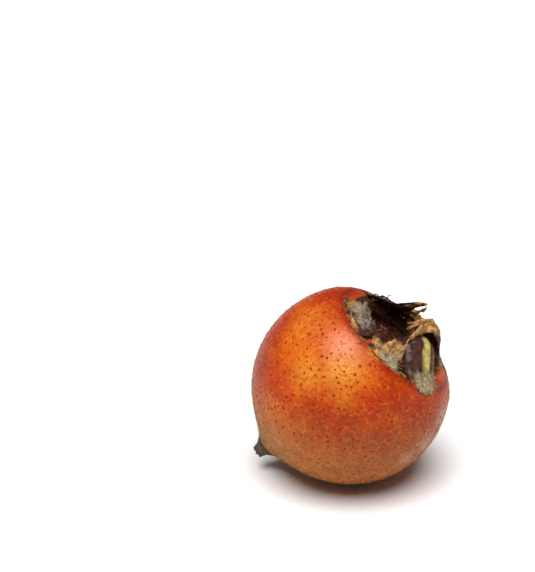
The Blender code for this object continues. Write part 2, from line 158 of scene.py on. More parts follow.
# The sepals. Their lines run from the end that lies on the fruit: radius, height and width in mm.
# The first few points, as counted by seated, follow the round rim. Azimuth and sway are in degrees
# and drift and cup in mm. A rib is its place across the blade and its height and breadth in mm. A
# notch is its place across, its half width and the share of the length that it takes away. A stain
# is its colour layer, its place across and along, its reach across and along, and its strength.
SEPALS = {
    "sepal_folded": {
        "azimuth": 313.0,
        "sway": 5.0,
        "line": [
            (14.5, 13.55, 2.2),
            (14.1, 13.95, 4.2),
            (13.5, 14.3, 5.4),
            (12.5, 14.45, 7.0),
            (11.6, 14.8, 8.8),
            (10.7, 15.4, 9.8),
            (9.6, 16.1, 10.2),
            (8.2, 17.0, 10.4),
            (6.8, 17.8, 10.4),
            (5.6, 18.4, 10.0),
            (4.6, 18.7, 9.4),
            (3.6, 18.7, 8.4),
            (2.8, 18.3, 7.2),
        ],
        "seated": 5,
        "drift": 1.2,
        "roll": 0.0,
        "cup": -0.7,
        "ruffle": 0.7,
        "kept": (1.0, 1.0),
        "rib": (0.12, 0.6, 1.9),
        "notches": [],
        "stains": [
            ("wool", 0.15, 0.2, 1.1, 0.23, 1.0),
            ("rib", 0.12, 0.76, 0.28, 0.42, 1.0),
            ("grey", -0.8, 0.6, 0.14, 0.12, 0.5),
            ("grey", -0.6, 0.8, 0.12, 0.1, 0.4),
            ("tan", 0.75, 0.7, 0.14, 0.4, 0.5),
        ],
    },
    "sepal_front_stump": {
        "azimuth": 269.0,
        "sway": -14.0,
        "line": [
            (12.7, 13.9, 5.4),
            (12.2, 14.25, 6.4),
            (11.6, 14.7, 7.0),
            (10.7, 15.5, 7.4),
            (9.8, 16.4, 7.2),
            (8.4, 17.5, 6.8),
            (7.0, 18.6, 5.8),
        ],
        "seated": 3,
        "drift": 0.0,
        "roll": 0.0,
        "cup": 0.3,
        "ruffle": 0.8,
        "kept": (0.58, 1.0),
        "rib": (0.1, 0.2, 0.8),
        "notches": [(0.3, 0.12, 0.05), (-0.35, 0.2, 0.03)],
        "stains": [
            ("wool", 0.35, 0.34, 0.75, 0.36, 1.0),
            ("tan", -0.6, 0.2, 0.6, 0.4, 1.0),
            ("tan", 0.0, 0.8, 1.2, 0.3, 0.9),
            ("grey", -0.35, 0.5, 0.3, 0.1, 1.0),
            ("grey", 0.85, 0.8, 0.3, 0.3, 0.8),
        ],
    },
    "sepal_back_stump": {
        "azimuth": 211.0,
        "sway": -1.0,
        "line": [
            (11.9, 14.0, 9.4),
            (11.6, 14.5, 10.8),
            (11.1, 15.0, 11.2),
            (10.3, 15.7, 11.0),
            (9.5, 16.4, 10.4),
            (8.6, 17.2, 9.4),
        ],
        "seated": 3,
        "drift": 0.0,
        "roll": 0.0,
        "cup": 0.4,
        "ruffle": 1.1,
        "kept": (0.92, 1.0),
        "rib": (0.0, 0.25, 0.9),
        "notches": [(0.35, 0.08, 0.1), (-0.3, 0.1, 0.08)],
        "stains": [
            ("wool", -0.4, 0.55, 0.35, 0.36, 0.6),
            ("wool", 0.2, 0.6, 0.3, 0.28, 0.4),
            ("grey", 0.1, 0.7, 0.8, 0.4, 0.8),
            ("tan", -0.8, 0.25, 0.4, 0.4, 0.6),
            ("tan", 0.3, 0.05, 0.5, 0.22, 0.9),
        ],
    },
    "sepal_curled": {
        "azimuth": 116.0,
        "sway": -6.0,
        "line": [
            (12.7, 13.9, 8.6),
            (12.2, 14.25, 10.0),
            (11.6, 14.7, 10.4),
            (10.7, 15.4, 10.0),
            (9.4, 16.1, 8.6),
            (7.6, 16.9, 6.4),
            (5.9, 18.1, 3.8),
            (4.3, 19.8, 2.2),
            (2.4, 21.8, 1.6),
            (0.5, 23.6, 0.9),
        ],
        "seated": 3,
        "drift": 0.0,
        "roll": 0.0,
        "cup": 0.1,
        "ruffle": 0.8,
        "kept": (1.0, 1.0),
        "rib": (0.0, 0.3, 0.8),
        "notches": [],
        "stains": [
            ("wool", 0.0, 0.15, 1.0, 0.16, 0.3),
            ("tan", 0.0, 1.0, 1.3, 0.28, 0.7),
            ("tan", -0.8, 0.55, 0.25, 0.2, 0.8),
        ],
    },
    "sepal_leaning": {
        "azimuth": 40.0,
        "sway": -6.0,
        "line": [
            (12.8, 13.9, 7.4),
            (12.3, 14.3, 9.4),
            (11.7, 14.8, 10.2),
            (10.7, 15.6, 10.4),
            (9.2, 17.2, 9.8),
            (7.8, 18.9, 8.4),
            (6.4, 20.3, 6.4),
            (4.6, 21.2, 4.6),
            (2.8, 21.5, 3.8),
            (1.0, 21.0, 3.8),
            (-0.6, 19.9, 4.0),
            (-1.9, 18.4, 4.4),
        ],
        "seated": 3,
        "drift": -2.4,
        "roll": 20.0,
        "cup": -0.5,
        "ruffle": 0.5,
        "kept": (1.0, 1.0),
        "rib": (0.0, 0.25, 0.7),
        "notches": [(0.1, 0.8, 0.14)],
        "stains": [
            ("wool", -0.3, 0.12, 1.3, 0.2, 0.8),
            ("tan", 0.0, 0.9, 1.5, 0.4, 1.0),
            ("tan", -0.6, 0.42, 0.3, 0.1, 0.7),
        ],
    },
}
BLADE_COLUMNS = 56
BLADE_ROWS = 112
TORN_DEPTH = 0.16
TORN_BIAS = 0.3
TORN_PITCH = 1.7
RUFFLE_PITCH = (1.9, 4.0)
LEAST_CURL_RADIUS = 5.0 * MM
FLATTENING = 0.75
NORMAL_REACH = 0.01

# Torn slivers between the sepals: the points of each in mm in the fruit's own frame, with its width
# in mm and how far it is turned from upright towards the eye, in degrees, and how tan it is
SLIVERS = [
    (
        0.15,
        [
            (-2.2, 10.8, 15.2, 1.8, 20),
            (0.0, 10.9, 15.6, 2.8, 28),
            (1.8, 10.3, 16.0, 3.0, 32),
            (3.5, 9.5, 16.4, 3.0, 34),
            (5.0, 8.6, 16.8, 2.6, 30),
            (6.2, 7.6, 17.2, 1.8, 20),
        ],
    ),
    (
        1.0,
        [
            (-2.6, 8.4, 17.2, 0.7, -40),
            (-1.5, 7.7, 17.8, 1.3, -40),
            (0.4, 5.5, 18.6, 1.5, -40),
            (1.6, 3.6, 19.4, 1.3, -40),
            (2.3, 2.2, 20.1, 0.9, -40),
        ],
    ),
    (
        0.7,
        [
            (-1.6, 7.2, 17.4, 0.6, -30),
            (-0.6, 6.2, 18.3, 0.7, -30),
            (0.3, 4.4, 20.0, 0.8, -30),
            (0.7, 2.4, 21.8, 0.8, -30),
            (0.5, 0.8, 23.2, 0.5, -30),
        ],
    ),
    (
        1.0,
        [
            (-0.3, -3.8, 19.0, 0.7, 30),
            (0.2, -3.0, 19.9, 1.0, 35),
            (1.0, -2.0, 20.8, 1.0, 40),
            (2.2, -0.4, 21.8, 0.7, 40),
        ],
    ),
    (
        1.0,
        [
            (2.6, -1.2, 21.0, 1.4, 45),
            (1.7, -3.7, 20.1, 1.7, 45),
            (1.3, -5.2, 19.0, 1.4, 40),
            (1.0, -6.3, 18.0, 1.0, 30),
        ],
    ),
]
SLIVER_ROWS = 40
SLIVER_COLUMNS = 6

# The dried stamens and styles
STAMEN_RING_RADIUS = 8.95 * MM
STAMEN_RING_HEIGHT = 13.0 * MM
STYLE_FOOT = 7.75 * MM
STYLE_COUNT = 5
STYLE_LEAN = math.radians(24)
STYLE_TURN = 0.3

# Curls of dead stamens beside the ring: between two azimuths, how many, their radius and height
CURLS = [
    (100, 142, 16, 10.4 * MM, 15.6 * MM),
    (225, 250, 9, 9.4 * MM, 14.2 * MM),
    (150, 185, 8, 9.6 * MM, 14.4 * MM),
    (284, 296, 6, 9.8 * MM, 14.8 * MM),
]

# A withered flower part that stands between two sepals: its stem, in mm, and its reach
STAR_STEM = [(-5.9, -7.2, 12.8), (-5.4, -6.6, 14.2), (-4.6, -5.8, 15.4), (-3.9, -5.0, 16.1)]
STAR_REACH = 1.2 * MM
STAR_ARMS = 7

# The camera, as the photograph was taken
PICTURE_SIZE = (535, 572)  # pixels, across and down
FRUIT_PIXEL = (350, 385)
CAMERA_DISTANCE = 300.0 * MM
CAMERA_TILT = math.radians(25)
PIXELS_PER_MM = 4.9
OVERHEAD = Vector((-0.03, -0.28, 0.94)).normalized()  # towards the main light


class MedlarSkinSettings(bpy.types.PropertyGroup):
    orange: FloatVectorProperty(
        name="Orange", description="Main colour of the skin", subtype="COLOR", size=3, min=0.0, max=1.0,
        default=(0.62, 0.100, 0.005),
    )
    red: FloatVectorProperty(
        name="Red", description="Colour of the ripest places", subtype="COLOR", size=3, min=0.0, max=1.0,
        default=(0.30, 0.012, 0.003),
    )
    gold: FloatVectorProperty(
        name="Gold", description="Colour of the least ripe places", subtype="COLOR", size=3, min=0.0,
        max=1.0, default=(0.72, 0.28, 0.030),
    )
    russet: FloatVectorProperty(
        name="Russet", description="Colour of the corky skin towards the stalk", subtype="COLOR", size=3,
        min=0.0, max=1.0, default=(0.27, 0.092, 0.018),
    )
    lenticel_gap: FloatProperty(
        name="Lenticel gap", description="Least distance between two lenticels", unit="LENGTH",
        default=1.0 * MM, min=0.5 * MM, max=6.0 * MM,
    )
    lenticel_radius: FloatProperty(
        name="Lenticel radius", description="Radius of a large lenticel", unit="LENGTH",
        default=0.32 * MM, min=0.05 * MM, max=1.0 * MM,
    )
    hair_length: FloatProperty(
        name="Hair length", description="Length of the short hairs on the skin", unit="LENGTH",
        default=0.55 * MM, min=0.1 * MM, max=4.0 * MM,
    )


class MedlarCalyxSettings(bpy.types.PropertyGroup):
    blade_thickness: FloatProperty(
        name="Blade thickness", description="Thickness of a dried sepal at its middle", unit="LENGTH",
        default=0.42 * MM, min=0.1 * MM, max=1.0 * MM,
    )
    crinkle: FloatProperty(
        name="Crinkle", description="How far the dried blades are crumpled", unit="LENGTH",
        default=0.16 * MM, min=0.0, max=0.6 * MM,
    )
    wool_length: FloatProperty(
        name="Wool length", description="Length of the hairs at the feet of the sepals", unit="LENGTH",
        default=0.95 * MM, min=0.1 * MM, max=4.0 * MM,
    )
    stamen_count: IntProperty(
        name="Stamens", description="Number of dried filaments round the eye", default=46, min=5, max=120,
    )
    stamen_length: FloatProperty(
        name="Stamen length", description="Length of a dried filament", unit="LENGTH",
        default=3.0 * MM, min=0.5 * MM, max=6.0 * MM,
    )


class MedlarStageSettings(bpy.types.PropertyGroup):
    key_strength: FloatProperty(
        name="Overhead light", description="Strength of the soft light overhead", default=4.4, min=0.0,
        max=50.0,
    )
    key_breadth: FloatProperty(
        name="Breadth of the light", description="How wide the overhead light looks from the fruit",
        subtype="ANGLE", unit="ROTATION", default=math.radians(52), min=0.0, max=math.pi,
    )
    sky_strength: FloatProperty(
        name="Surrounding light", description="Strength of the white surroundings", default=0.08, min=0.0,
        max=5.0,
    )


# Shapes

def smoothstep(low, high, value):
    t = min(1.0, max(0.0, (value - low) / (high - low)))
    return t * t * (3.0 - 2.0 * t)


def along(points, t):
    """A smooth curve through the points, at t from 0 to 1. The points may have any number of parts."""
    last = len(points) - 1
    place_on = min(max(t, 0.0), 1.0) * last
    i = min(int(place_on), last - 1)
    f = place_on - i
    before, start, end, after = (points[min(max(k, 0), last)] for k in (i - 1, i, i + 1, i + 2))
    return tuple(
        0.5 * (2 * b + (c - a) * f + (2 * a - 5 * b + 4 * c - d) * f * f + (3 * b - a - 3 * c + d) * f**3)
        for a, b, c, d in zip(before, start, end, after)
    )


def towards(azimuth, from_crown):
    """The unit vector at an azimuth and an angle from the crown, in the fruit's own frame."""
    sideways = math.sin(from_crown)
    return Vector((sideways * math.cos(azimuth), sideways * math.sin(azimuth), math.cos(from_crown)))


STALK_DIRECTION = towards(STALK_AZIMUTH, math.pi - STALK_LEAN)


def lying_frame():
    """The matrix that lays the fruit down, as it does the solids."""
    e, h = CROWN_ELEVATION, CROWN_HEADING
    crown = Vector((math.cos(h) * math.cos(e), math.sin(h) * math.cos(e), math.sin(e)))
    downhill = Vector((math.cos(h) * math.sin(e), math.sin(h) * math.sin(e), -math.cos(e)))
    turn = Matrix((downhill, crown.cross(downhill), crown)).transposed().to_4x4()
    return Matrix.Translation((0, 0, REST_DEPTH)) @ turn


LYING = lying_frame()


def nearest_sepal(azimuth):
    """The angle from this azimuth to the middle of the nearest sepal's foot."""
    return min(
        abs(math.remainder(azimuth - math.radians(sepal["azimuth"]), 2 * math.pi))
        for sepal in SEPALS.values()
    )


def swelling(direction):
    """How far the skin stands out from the plain globe in this direction, in metres."""
    azimuth = math.atan2(direction.y, direction.x)
    from_crown = direction.angle(Vector((0, 0, 1)))
    ring = math.exp(-(((from_crown - SHOULDER_ANGLE) / SHOULDER_WIDTH) ** 2))
    between = smoothstep(0.0, SHOULDER_REACH, nearest_sepal(azimuth)) - 0.5
    from_stalk = direction.angle(STALK_DIRECTION)
    drawn_out = sum(height * math.exp(-((from_stalk / width) ** 2)) for height, width in STALK_CONES)
    uneven = noise.noise(direction * UNEVEN_SCALE + UNEVEN_PLACE)
    return SHOULDER_SWELL * between * ring + drawn_out + UNEVENNESS * uneven


def seat_share(azimuth):
    """1 where a sepal is seated on the rim, fading to 0 between two seats."""
    share = 0.0
    for sepal in SEPALS.values():
        half_foot = 0.5 * sepal["line"][sepal["seated"] - 1][2] * MM / SEAT_CENTRE
        gap = abs(math.remainder(azimuth - math.radians(sepal["azimuth"]), 2 * math.pi)) - half_foot
        share = max(share, 1.0 - smoothstep(SEAT_MARGIN, SEAT_MARGIN + SEAT_EDGE, gap))
    return share


def place_share(direction, places):
    """How strongly the nearest of these places on the skin colours it in this direction."""
    share = 0.0
    for azimuth, from_crown, reach, strength in places:
        centre = towards(math.radians(azimuth), math.radians(from_crown))
        away = direction.angle(centre) / math.radians(reach)
        share = max(share, strength * math.exp(-away * away))
    return share


def shared(mesh, name, values):
    """Stores one number for each vertex under a name that materials and trees can read."""
    attribute = mesh.attributes.new(name, "FLOAT", "POINT")
    attribute.data.foreach_set("value", values)


def placed(name, mesh, finish=None, replaces=()):
    """A finished piece at the origin, riding on the fruit."""
    if finish is not None:
        mesh.materials.clear()
        mesh.materials.append(finish)
    made = bpy.data.objects.new(name, mesh)
    bpy.context.scene.collection.objects.link(made)
    mesh.shade_smooth()
    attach(made, BODY)
    if replaces:
        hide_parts(*replaces)
    return made


# Finishes

class Finish:
    """One procedural material, built up node by node on Object coordinates and attributes."""

    def __init__(self, name):
        self.material = bpy.data.materials.new(name)
        self.material.use_nodes = True
        self.nodes = self.material.node_tree.nodes
        self.links = self.material.node_tree.links
        self.shader = self.nodes["Principled BSDF"]
        self.place = self.nodes.new("ShaderNodeTexCoord").outputs["Object"]

    def feed(self, socket, value):
        """Links a socket to another one, or sets it to a number or a colour."""
        if isinstance(value, bpy.types.NodeSocket):
            self.links.new(value, socket)
        elif isinstance(value, tuple):
            socket.default_value = (*value, 1.0)
        else:
            socket.default_value = value

    def surface(self, **values):
        """Sets the shader's own sockets, which are named with spaces for underscores."""
        for name, value in values.items():
            title = name.replace("_", " ").title().replace("Ior", "IOR")
            self.feed(self.shader.inputs[title], value)

    def noise(self, size, detail=3.0, roughness=0.55, stretch=(1.0, 1.0, 1.0)):
        """Noise from 0 to 1 with lumps of about this size in metres."""
        mapping = self.nodes.new("ShaderNodeMapping")
        mapping.inputs["Scale"].default_value = stretch
        self.links.new(self.place, mapping.inputs["Vector"])
        made = self.nodes.new("ShaderNodeTexNoise")
        self.links.new(mapping.outputs["Vector"], made.inputs["Vector"])
        made.inputs["Scale"].default_value = 1.0 / size
        made.inputs["Detail"].default_value = detail
        made.inputs["Roughness"].default_value = roughness
        return made.outputs["Fac"]

    def share(self, name):
        """The attribute that the mesh stores under this name."""
        made = self.nodes.new("ShaderNodeAttribute")
        made.attribute_name = name
        return made.outputs["Fac"]

    def sum(self, operation, first, second):
        made = self.nodes.new("ShaderNodeMath")
        made.operation = operation
        self.feed(made.inputs[0], first)
        self.feed(made.inputs[1], second)
        return made.outputs["Value"]

    def ramp(self, value, low, high, bottom=0.0, top=1.0):
        """The value taken smoothly from between low and high to between bottom and top."""
        made = self.nodes.new("ShaderNodeMapRange")
        made.interpolation_type = "SMOOTHSTEP"
        self.feed(made.inputs["Value"], value)
        made.inputs["From Min"].default_value = low
        made.inputs["From Max"].default_value = high
        made.inputs["To Min"].default_value = bottom
        made.inputs["To Max"].default_value = top
        return made.outputs["Result"]

    def mix(self, factor, below, above):
        """The colour below, covered with the colour above where the factor is 1."""
        made = self.nodes.new("ShaderNodeMix")
        made.data_type = "RGBA"
        self.feed(made.inputs["Factor"], factor)
        self.feed(made.inputs[COLOUR_BELOW], below)
        self.feed(made.inputs[COLOUR_ABOVE], above)
        return made.outputs[COLOUR_MIXED]

    def bump(self, height, distance, strength=1.0):
        """Feeds the shader's normal with bumps of this height in metres."""
        made = self.nodes.new("ShaderNodeBump")
        made.inputs["Distance"].default_value = distance
        made.inputs["Strength"].default_value = strength
        self.links.new(height, made.inputs["Height"])
        self.links.new(made.outputs["Normal"], self.shader.inputs["Normal"])


def skin_finish(settings):
    """Ripe skin: mottled orange, red and gold, russet towards the stalk and dark in the eye, with a painted
    highlight, painted sheen at one edge and painted shade along the rim.
    """
    skin = Finish("medlar_skin")
    broad = skin.noise(5.0 * MM, 3.0)
    mottle = skin.noise(1.3 * MM, 4.0, 0.65)
    fine = skin.noise(0.35 * MM, 3.0, 0.7)
    colour = skin.mix(skin.ramp(broad, 0.4, 0.65), tuple(settings.orange), (0.50, 0.045, 0.004))
    gold = skin.sum("MULTIPLY", skin.share("gold_share"), skin.ramp(mottle, 0.1, 0.6, 0.6, 1.0))
    colour = skin.mix(gold, colour, tuple(settings.gold))
    red = skin.sum("MULTIPLY", skin.share("red_share"), skin.ramp(mottle, 0.15, 0.75, 0.7, 1.0))
    colour = skin.mix(red, colour, tuple(settings.red))
    russet = skin.sum("MULTIPLY", skin.share("russet_share"), skin.ramp(mottle, 0.25, 0.6, 0.45, 1.0))
    colour = skin.mix(russet, colour, tuple(settings.russet))
    colour = skin.mix(skin.sum("MULTIPLY", russet, skin.ramp(fine, 0.50, 0.62)), colour, (0.52, 0.25, 0.07))
    patches = skin.noise(2.6 * MM, 4.0, 0.6)
    blush = skin.sum("MULTIPLY", skin.ramp(patches, 0.5, 0.66, 0.0, 0.6), skin.share("russet_share"))
    colour = skin.mix(blush, colour, (0.17, 0.026, 0.006))
    # Painted highlight: pale pink on the upper front, where the overhead light reflects
    colour = skin.mix(skin.share("painted_highlight_share"), colour, (0.74, 0.25, 0.13))
    # Painted sheen: greyish pink where the hairs at the right edge catch the light at a grazing angle
    colour = skin.mix(skin.share("painted_sheen_share"), colour, (0.50, 0.32, 0.27))
    colour = skin.mix(skin.ramp(fine, 0.54, 0.70, 0.0, 0.65), colour, (0.20, 0.022, 0.004))
    freckles = skin.noise(0.7 * MM, 2.0, 0.5)
    colour = skin.mix(skin.ramp(freckles, 0.54, 0.66, 0.0, 0.42), colour, (0.24, 0.024, 0.004))
    colour = skin.mix(skin.ramp(freckles, 0.44, 0.32, 0.0, 0.22), colour, (0.80, 0.30, 0.05))
    # Painted shade: a dark red band in the dip by the rim, over the skin's own deep red
    colour = skin.mix(skin.share("rim_shade_share"), colour, (0.15, 0.008, 0.004))
    seat = skin.mix(skin.ramp(mottle, 0.4, 0.6), (0.05, 0.018, 0.008), (0.34, 0.15, 0.04))
    colour = skin.mix(skin.share("seat_share"), colour, seat)
    crust = skin.mix(skin.ramp(mottle, 0.4, 0.7), (0.055, 0.022, 0.014), (0.34, 0.095, 0.050))
    colour = skin.mix(skin.share("eye_share"), colour, crust)
    skin.surface(base_color=colour, coat_weight=0.0, specular_ior_level=0.12)
    dull = skin.sum("ADD", skin.ramp(fine, 0.2, 0.8, 0.32, 0.46), skin.sum("MULTIPLY", russet, 0.25))
    eye_dull = skin.sum("MULTIPLY", skin.share("eye_share"), 0.4)
    skin.surface(roughness=skin.sum("ADD", dull, eye_dull), subsurface_weight=0.1)
    skin.shader.inputs["Subsurface Radius"].default_value = (1.0, 0.3, 0.1)
    skin.shader.inputs["Subsurface Scale"].default_value = 1.5 * MM
    grain = skin.sum("ADD", skin.sum("MULTIPLY", mottle, 0.6), skin.sum("MULTIPLY", fine, 0.4))
    skin.bump(grain, 0.15 * MM, 0.7)
    return skin.material


def blade_finish():
    """Dried sepal: dark brown tissue, stained tan and grey, with a pale rib and a woolly foot."""
    blade = Finish("dried_blade")
    mottle = blade.noise(1.1 * MM, 4.0, 0.65)
    fine = blade.noise(0.25 * MM, 3.0, 0.7)
    colour = blade.mix(blade.ramp(mottle, 0.35, 0.65), (0.014, 0.004, 0.002), (0.075, 0.018, 0.008))
    colour = blade.mix(blade.ramp(fine, 0.6, 0.75, 0.0, 0.5), colour, (0.15, 0.06, 0.03))
    for layer, dark, pale in (
        ("grey", (0.05, 0.032, 0.024), (0.30, 0.23, 0.17)),
        ("tan", (0.20, 0.075, 0.018), (0.58, 0.33, 0.10)),
        ("wool", (0.12, 0.070, 0.030), (0.46, 0.35, 0.19)),
        ("rib", (0.34, 0.25, 0.055), (0.60, 0.50, 0.14)),
    ):
        tone = blade.mix(blade.ramp(mottle, 0.38, 0.62), dark, pale)
        cover = blade.sum("MULTIPLY", blade.share(layer + "_share"), blade.ramp(fine, 0.15, 0.6, 0.6, 1.0))
        colour = blade.mix(cover, colour, tone)
    blade.surface(base_color=colour, roughness=blade.ramp(fine, 0.2, 0.8, 0.55, 0.85), specular_ior_level=0.3)
    crumple = blade.sum("ADD", blade.sum("MULTIPLY", mottle, 0.6), blade.sum("MULTIPLY", fine, 0.4))
    blade.bump(crumple, 0.3 * MM)
    return blade.material


def plain_finish(name, dark, pale, size, roughness, relief):
    """A finish of two tones, mottled at one size."""
    made = Finish(name)
    mottle = made.noise(size, 3.0, 0.6)
    colour = made.mix(made.ramp(mottle, 0.3, 0.7), dark, pale)
    made.surface(base_color=colour, roughness=roughness, specular_ior_level=0.05)
    if relief > 0.0:
        made.bump(mottle, relief)
    return made.material


def bark_finish():
    """Grey-brown bark of the stalk, with darker fibres and paler patches."""
    bark = Finish("stalk_bark")
    fibres = bark.noise(0.3 * MM, 4.0, 0.7)
    patches = bark.noise(1.5 * MM, 3.0)
    colour = bark.mix(bark.ramp(fibres, 0.3, 0.7), (0.022, 0.013, 0.007), (0.115, 0.070, 0.038))
    colour = bark.mix(bark.ramp(patches, 0.5, 0.7, 0.0, 0.6), colour, (0.18, 0.120, 0.075))
    bark.surface(base_color=colour, roughness=0.85)
    bark.bump(fibres, 0.15 * MM)
    return bark.material


# Trees of Geometry Nodes

class Tree:
    """A Geometry Nodes tree with named inputs."""

    def __init__(self, name, **inputs):
        self.tree = bpy.data.node_groups.new(name, "GeometryNodeTree")
        self.tree.interface.new_socket("Geometry", in_out="INPUT", socket_type="NodeSocketGeometry")
        for title, kind in inputs.items():
            self.tree.interface.new_socket(title.replace("_", " "), in_out="INPUT", socket_type="NodeSocket" + kind)
        self.tree.interface.new_socket("Geometry", in_out="OUTPUT", socket_type="NodeSocketGeometry")
        self.inputs = self.tree.nodes.new("NodeGroupInput").outputs
        self.outputs = self.tree.nodes.new("NodeGroupOutput").inputs

    def node(self, kind, feeds=(), **settings):
        """A node with its settings made and its inputs fed, by name or number."""
        made = self.tree.nodes.new(kind)
        for name, value in settings.items():
            setattr(made, name, value)
        for key, value in dict(feeds).items():
            if isinstance(value, bpy.types.NodeSocket):
                self.tree.links.new(value, made.inputs[key])
            else:
                made.inputs[key].default_value = value
        return made

    def random(self, low, high, seed):
        """A random number for each point."""
        made = self.node("FunctionNodeRandomValue", {2: low, 3: high, "Seed": seed}, data_type="FLOAT")
        return made.outputs[1]

    def vector(self, x, y, z):
        return self.node("ShaderNodeCombineXYZ", {0: x, 1: y, 2: z}).outputs[0]

    def sum(self, operation, first, second):
        return self.node("ShaderNodeMath", {0: first, 1: second}, operation=operation).outputs[0]

    def end(self, geometry):
        """Ends the tree: what it made is made real, shaded smooth and given the material."""
        real = self.node("GeometryNodeRealizeInstances", {0: geometry}).outputs[0]
        smooth = self.node("GeometryNodeSetShadeSmooth", {0: real}).outputs[0]
        last = self.node("GeometryNodeSetMaterial", {"Geometry": smooth, "Material": self.inputs["Material"]})
        self.tree.links.new(last.outputs[0], self.outputs[0])
        return self.tree


def hair_tree():
    """Grows bent, tapering hairs on a surface, as densely as its named attribute says."""
    made = Tree(
        "medlar_hairs", Density="Float", Share="String", Seed="Int", Length="Float", Radius="Float",
        Lean="Float", Bend="Float", Segments="Int", Material="Material",
    )
    share = made.node("GeometryNodeInputNamedAttribute", {"Name": made.inputs["Share"]}, data_type="FLOAT")
    density = made.sum("MULTIPLY", share.outputs[0], made.inputs["Density"])
    spread = made.node(
        "GeometryNodeDistributePointsOnFaces",
        {"Mesh": made.inputs["Geometry"], "Density": density, "Seed": made.inputs["Seed"]},
    )
    hair = made.node(
        "GeometryNodeMeshCone",
        {
            "Vertices": 3, "Side Segments": made.inputs["Segments"],
            "Radius Top": made.sum("MULTIPLY", made.inputs["Radius"], 0.25),
            "Radius Bottom": made.inputs["Radius"], "Depth": made.inputs["Length"],
        },
    )
    height = made.node("ShaderNodeSeparateXYZ", {0: made.node("GeometryNodeInputPosition").outputs[0]}).outputs[2]
    part = made.sum("DIVIDE", height, made.inputs["Length"])
    bow = made.sum("MULTIPLY", made.sum("MULTIPLY", part, part), made.sum("MULTIPLY", made.inputs["Bend"], made.inputs["Length"]))
    bent = made.node(
        "GeometryNodeSetPosition",
        {"Geometry": hair.outputs[0], "Offset": made.vector(0.0, bow, made.sum("MULTIPLY", bow, -0.5))},
    )
    lean = made.sum("MULTIPLY", made.inputs["Lean"], made.random(0.6, 1.25, 1))
    turn = made.node("FunctionNodeEulerToRotation", {0: made.vector(lean, 0.0, made.random(0.0, 2 * math.pi, 2))})
    rotation = made.node(
        "FunctionNodeRotateRotation",
        {"Rotation": spread.outputs["Rotation"], "Rotate By": turn.outputs[0]},
        rotation_space="LOCAL",
    )
    grow = made.node(
        "GeometryNodeInstanceOnPoints",
        {
            "Points": spread.outputs["Points"], "Instance": bent.outputs[0], "Rotation": rotation.outputs[0],
            "Scale": made.vector(1.0, made.random(0.5, 1.1, 3), made.random(0.5, 1.1, 3)),
        },
    )
    return made.end(grow.outputs[0])


def lenticel_tree():
    """Spreads low corky domes over the skin, evenly but not regularly."""
    made = Tree(
        "medlar_lenticels", Gap="Float", Share="String", Seed="Int", Radius="Float", Height="Float",
        Material="Material",
    )
    share = made.node("GeometryNodeInputNamedAttribute", {"Name": made.inputs["Share"]}, data_type="FLOAT")
    spread = made.node(
        "GeometryNodeDistributePointsOnFaces",
        {
            "Mesh": made.inputs["Geometry"], "Distance Min": made.inputs["Gap"], "Density Max": 4.6e5,
            "Density Factor": share.outputs[0], "Seed": made.inputs["Seed"],
        },
        distribute_method="POISSON",
    )
    dome = made.node("GeometryNodeMeshUVSphere", {"Segments": 8, "Rings": 5, "Radius": 1.0})
    size = made.random(0.35, 1.0, 4)
    across = made.sum("MULTIPLY", made.inputs["Radius"], size)
    wide = made.sum("MULTIPLY", across, made.random(0.7, 1.15, 5))
    turn = made.node("FunctionNodeEulerToRotation", {0: made.vector(0.0, 0.0, made.random(0.0, 2 * math.pi, 6))})
    rotation = made.node(
        "FunctionNodeRotateRotation",
        {"Rotation": spread.outputs["Rotation"], "Rotate By": turn.outputs[0]},
        rotation_space="LOCAL",
    )
    grow = made.node(
        "GeometryNodeInstanceOnPoints",
        {
            "Points": spread.outputs["Points"], "Instance": dome.outputs[0], "Rotation": rotation.outputs[0],
            "Scale": made.vector(across, wide, made.inputs["Height"]),
        },
    )
    return made.end(grow.outputs[0])


def thread_tree():
    """Turns lines of edges into round threads, as thick at each point as the lines say."""
    made = Tree("medlar_threads", Sides="Int", Material="Material")
    lines = made.node("GeometryNodeMeshToCurve", {"Mesh": made.inputs["Geometry"]})
    thick = made.node("GeometryNodeInputNamedAttribute", {"Name": "thickness"}, data_type="FLOAT")
    circle = made.node("GeometryNodeCurvePrimitiveCircle", {"Resolution": made.inputs["Sides"], "Radius": 1.0})
    tubes = made.node(
        "GeometryNodeCurveToMesh",
        {
            "Curve": lines.outputs[0], "Profile Curve": circle.outputs[0], "Scale": thick.outputs[0],
            "Fill Caps": True,
        },
    )
    return made.end(tubes.outputs[0])


def grown(surface, tree, inputs):
    """The mesh that a tree makes of a surface, with the tree's inputs set by their identifiers."""
    host = bpy.data.objects.new("host", surface)
    bpy.context.scene.collection.objects.link(host)
    grow = host.modifiers.new("grow", "NODES")
    grow.node_group = tree
    for item in tree.interface.items_tree:
        if item.in_out == "INPUT" and item.name in inputs:
            grow[item.identifier] = inputs[item.name]
    graph = bpy.context.evaluated_depsgraph_get()
    mesh = bpy.data.meshes.new_from_object(host.evaluated_get(graph))
    bpy.data.objects.remove(host)
    if not mesh.polygons:
        raise RuntimeError(f"the tree {tree.name} grew nothing")
    mesh.materials.clear()
    mesh.materials.append(inputs["Material"])
    mesh.polygons.foreach_set("material_index", [0] * len(mesh.polygons))
    return mesh


def joined(name, meshes):
    """One mesh of several."""
    work = bmesh.new()
    for mesh in meshes:
        work.from_mesh(mesh)
    whole = bpy.data.meshes.new(name)
    work.to_mesh(whole)
    work.free()
    whole.materials.append(meshes[0].materials[0])
    return whole


